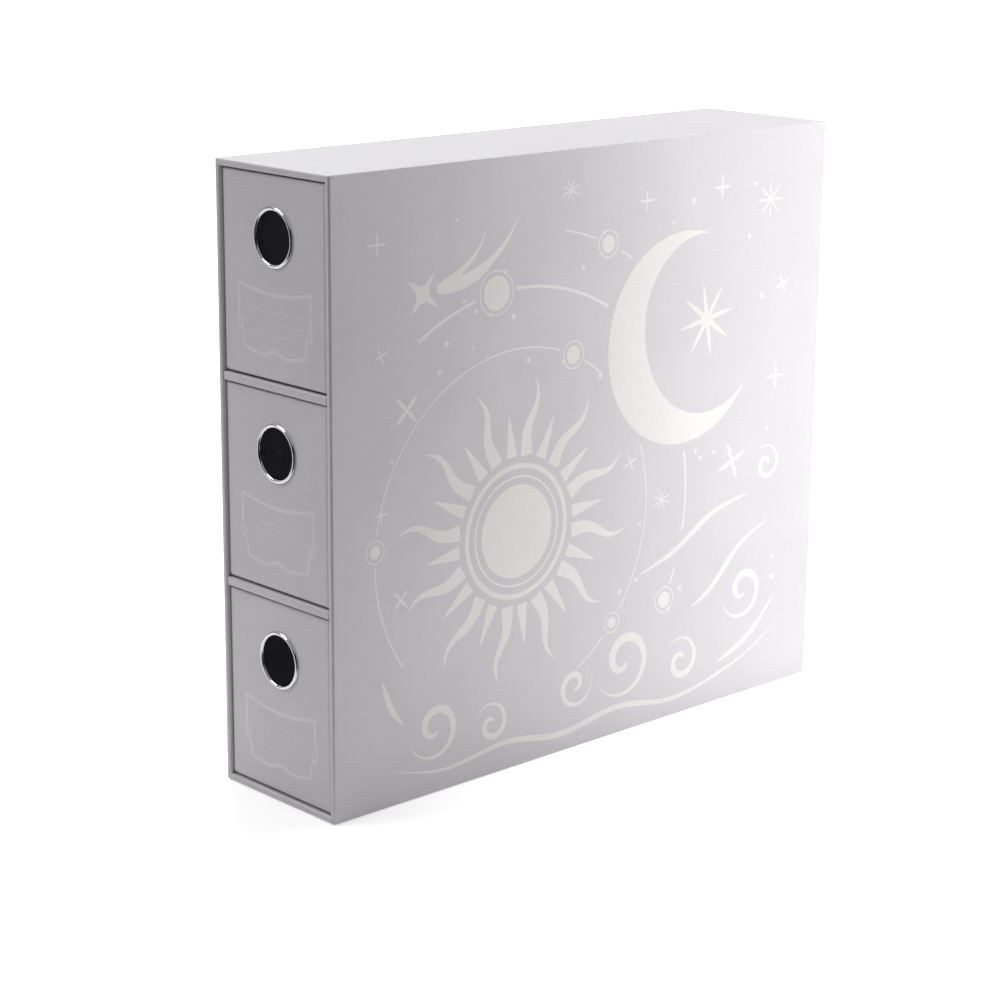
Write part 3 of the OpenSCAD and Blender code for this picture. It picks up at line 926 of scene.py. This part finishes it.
def sky_print(side):
    """A generic print of sun, moon, planets and clouds on one side of the cabinet. Its points
    are in mm from the low front corner."""
    across = 1 if side == "right" else -1

    def place(along, up, lift):
        return across * (WRAP_HIGH.x + lift), FRONT_Y + along, up

    def at(along, up):
        return along * MM, up * MM

    ink = Print(place)
    sun, moon, bright_star, comet_head = at(118, 124), at(236, 206), at(253, 214), at(56, 250)
    inner_orbit, middle_orbit, outer_orbit = 92, 122, 150
    sun_burst(ink, sun, 34 * MM, 24)
    crescent(ink, moon, 56 * MM, 28 * MM, 20)
    ink.star(bright_star, 21 * MM, 8, 0.2, 10)
    # orbit, angle on it, size, angles of the moons
    planets = [(inner_orbit, 66, 4.6, (200,)), (inner_orbit, 176, 3.2, ()),
               (middle_orbit, 97, 8.5, (60, 250)), (middle_orbit, 52, 3.4, ()),
               (outer_orbit, 66, 4.4, (120,)), (middle_orbit, 332, 4.4, (300,)),
               (inner_orbit, 318, 3.0, ())]
    spots = [(moon, 60 * MM), (at(236, 93), 9 * MM)]    # where no orbit is drawn
    for orbit, turned, size, moons in planets:
        spot = round_point(sun, orbit * MM, math.radians(turned))
        planet(ink, spot, size, moons)
        spots.append((spot, (size + 4.2) * MM))
    for orbit, start, end, width in ((inner_orbit, -62, 216, 0.9), (middle_orbit, -32, 122, 1.5),
                                     (outer_orbit, 44, 78, 0.9)):
        ink.circle(sun, orbit * MM, width * MM, start, end, spots)
    comet(ink, comet_head, 8, 70)
    # place, size, first angle, way round, stroke
    clouds = [(64, 34, 17, 200, 1, 4.2), (102, 27, 12, 150, -1, 3.4), (196, 40, 21, 210, 1, 5.0),
              (240, 30, 14, 140, -1, 3.8), (288, 60, 17, 190, 1, 4.2), (160, 34, 13, 20, -1, 3.4),
              (304, 128, 11, 120, -1, 3.0)]
    for x, y, size, spin, handed, width in clouds:
        swirl(ink, at(x, y), size * MM, spin, handed, width * MM)
    waves = [[(36, 18), (70, 11), (112, 15), (150, 10), (192, 15), (236, 10), (284, 20),
              (314, 34)],
             [(246, 58), (262, 66), (284, 86), (306, 96)],
             [(268, 22), (294, 33), (314, 52)],
             [(30, 66), (36, 50), (44, 40)],
             [(206, 84), (232, 92), (262, 108), (290, 114)]]
    for wave in waves:
        curve = smooth_line([at(*p) for p in wave])
        ink.ribbon(curve, tapered(len(curve), 3.4 * MM, 0.05, 0.05, 0.45))
    draw = random.Random(27)
    # place, reach, number of points
    stars = [(46, 196, 10, 4), (30, 224, 5, 4), (152, 290, 8, 8), (206, 280, 6, 4),
             (300, 272, 11, 8), (309, 176, 8, 4), (276, 134, 12, 4), (222, 122, 8, 8),
             (198, 146, 6, 4), (312, 226, 6, 4), (42, 104, 7, 4), (30, 148, 5, 4),
             (262, 282, 7, 4), (28, 276, 6, 4)]
    for x, y, reach, points in stars:
        ink.star(at(x, y), reach * MM, points, 0.13, draw.choice((0, 0, 22, 45)))
    kept_clear = spots + [(sun, 84 * MM), (bright_star, 24 * MM), (comet_head, 16 * MM)]
    kept_clear += [(at(x, y), (reach + 3) * MM) for x, y, reach, _ in stars]
    dot_tries = 60
    for _ in range(dot_tries):
        spot, size = at(draw.uniform(28, 314), draw.uniform(60, 290)), draw.uniform(0.7, 1.6) * MM
        if all(math.dist(spot, centre) > radius for centre, radius in kept_clear):
            ink.disc(spot, size)
    ink.close(f"{side}_side_ink", SIDE_INK, "cabinet")


for drawer in DRAWERS:
    label_field(drawer)
for side in ("left", "right"):
    sky_print(side)


# ---------------------------------------------------------------- camera, floor and light

def aim(location, target, roll=0.0):
    """The rotation that points an object's -Z at a target."""
    away = Vector(target) - Vector(location)
    return away.to_track_quat("-Z", "Y") @ Quaternion((0, 0, 1), math.radians(roll))


def make_camera():
    """The camera, fitted to the seven corners of the cabinet that the photograph shows."""
    camera = bpy.data.cameras.new("camera")
    camera.lens = 91.7245
    camera.sensor_width = 36
    camera.clip_start, camera.clip_end = 0.05, 60
    holder = add_object("camera", camera)
    turn, rise, roll = math.radians(46.8304), math.radians(14.8637), 0.4839
    back = Vector((math.sin(turn) * math.cos(rise), -math.cos(turn) * math.cos(rise),
                   math.sin(rise)))
    holder.location = (0.9216, -0.8902, 0.4622)
    holder.rotation_mode = "QUATERNION"
    holder.rotation_quaternion = aim((0, 0, 0), -back, roll)
    bpy.context.scene.camera = holder


def make_floor():
    """A pale lit table. It glows softly round the box's foot and in four patches beside it,
    which light the sides from below, and to the camera it fades to plain white."""
    half_w, sunk = 25, 0.2 * MM
    pale, dim = (0.8, 0.8, 0.8, 1), (0.03, 0.03, 0.03, 1)
    material, s = new_material("floor")
    where = s.add("ShaderNodeTexCoord").outputs["Object"]
    quarter = s.vector_maths("ABSOLUTE", _0=where)
    beyond = s.vector_maths("SUBTRACT", _0=quarter, _1=(WRAP_HIGH.x, WRAP_HIGH.y, 0))
    beyond = s.vector_maths("MAXIMUM", _0=beyond, _1=(0, 0, 0))
    away = s.vector_maths("LENGTH", "Value", _0=beyond)
    glow = s.remap(away, 0.02, 0.35, 0.13, 0.0)
    for spot, near, far, strength in (((0.14, 0.16, 0), 0.03, 0.25, 0.63),
                                      ((0.20, 0.04, 0), 0.05, 0.30, 0.39),
                                      ((0.09, 0.22, 0), 0.02, 0.15, 0.15),
                                      ((-0.30, -0.16, 0), 0.08, 0.30, 0.40)):
        from_spot = s.vector_maths("DISTANCE", "Value", _0=where, _1=spot)
        glow = s.maths("ADD", glow, s.remap(from_spot, near, far, strength, 0.0))
    fade = s.remap(away, 0.0, 0.9, 0.3, 1.0)
    path = s.add("ShaderNodeLightPath")
    # on the front right it is dim to glossy rays, so the rings mirror an unlit room there
    apart = s.add("ShaderNodeSeparateXYZ", Vector=where)
    room = s.remap(s.maths("SUBTRACT", apart.outputs["X"], apart.outputs["Y"]), 0.25, 0.45)
    room = s.maths("MULTIPLY", room, path.outputs["Is Glossy Ray"])
    glow = s.maths("MULTIPLY", glow, s.maths("SUBTRACT", 1.0, s.maths("MULTIPLY", room, 0.95)))
    glow = s.maths("ADD", glow, s.maths("MULTIPLY", fade, path.outputs["Is Camera Ray"]))
    close_material(s, Base_Color=s.blend(room, pale, dim), Roughness=0.9,
                   Emission_Color=(1, 1, 1, 1), Emission_Strength=glow)
    bm = bmesh.new()
    bmesh.ops.create_grid(bm, x_segments=4, y_segments=4, size=half_w)
    mesh = bpy.data.meshes.new("floor")
    bm.to_mesh(mesh)
    bm.free()
    mesh.materials.append(material)
    floor = add_object("floor", mesh)
    floor.location.z = -sunk


def soft_light(name, location, target, width, height, power):
    """A softbox that the camera doesn't see."""
    light = bpy.data.lights.new(name, "AREA")
    light.shape = "RECTANGLE"
    light.size, light.size_y = width, height
    light.energy = power
    holder = add_object(name, light)
    holder.location = location
    holder.rotation_mode = "QUATERNION"
    holder.rotation_quaternion = aim(location, target)
    holder.visible_camera = False


def make_world(room, ceiling):
    """A dim room under a bright ceiling, with a plain white backdrop for the camera."""
    ceiling_from, ceiling_to = 0.42, 0.55    # heights on the unit sphere
    world = bpy.data.worlds.new("studio")
    world.use_nodes = True
    world.node_tree.nodes.clear()
    s = Shader(world.node_tree)
    towards = s.add("ShaderNodeTexCoord").outputs["Generated"]
    up = s.add("ShaderNodeSeparateXYZ", Vector=towards).outputs["Z"]
    seen = s.add("ShaderNodeLightPath").outputs["Is Camera Ray"]
    strength = s.maths("MAXIMUM", seen, s.remap(up, ceiling_from, ceiling_to, room, ceiling))
    shine = s.add("ShaderNodeBackground", Color=(1, 1, 1, 1), Strength=strength)
    s.add("ShaderNodeOutputWorld", Surface=shine.outputs[0])
    bpy.context.scene.world = world


make_camera()
make_floor()
make_world(room=0.012, ceiling=0.35)
BOX_MIDDLE = (0, 0, 0.2)
FAR_END = (0.04, 0.17, 0.155)
# name, place, what it points at, width, height, power
for softbox in (
        ("top_back_softbox", (0.1, 0.75, 0.75), (0, 0.17, 0.31), 0.8, 0.3, 3.26),
        ("overhead_left_softbox", (-1.3, 0.2, 1.1), BOX_MIDDLE, 1.0, 1.0, 3.0),
        ("back_left_softbox", (-1.0, 1.0, 1.2), (0, 0, 0.3), 1.4, 1.0, 12.1),
        ("front_high_softbox", (-0.8, -1.2, 1.6), (0, -0.17, 0.2), 1.0, 0.8, 17.8),
        ("left_softbox", (-1.5, -0.95, 0.35), (0, -0.17, 0.15), 0.8, 0.6, 1.0),
        ("right_softbox", (1.4, 1.6, 0.6), (0.04, 0.1, 0.15), 1.0, 1.0, 8.5),
        ("side_strip", (0.25, 0.30, 0.155), FAR_END, 0.05, 0.6, 0.51),
        ("far_strip", (0.20, 0.45, 0.155), (0.042, 0.12, 0.155), 0.06, 0.6, 0.62)):
    soft_light(*softbox)
bpy.context.scene.view_settings.view_transform = "Standard"
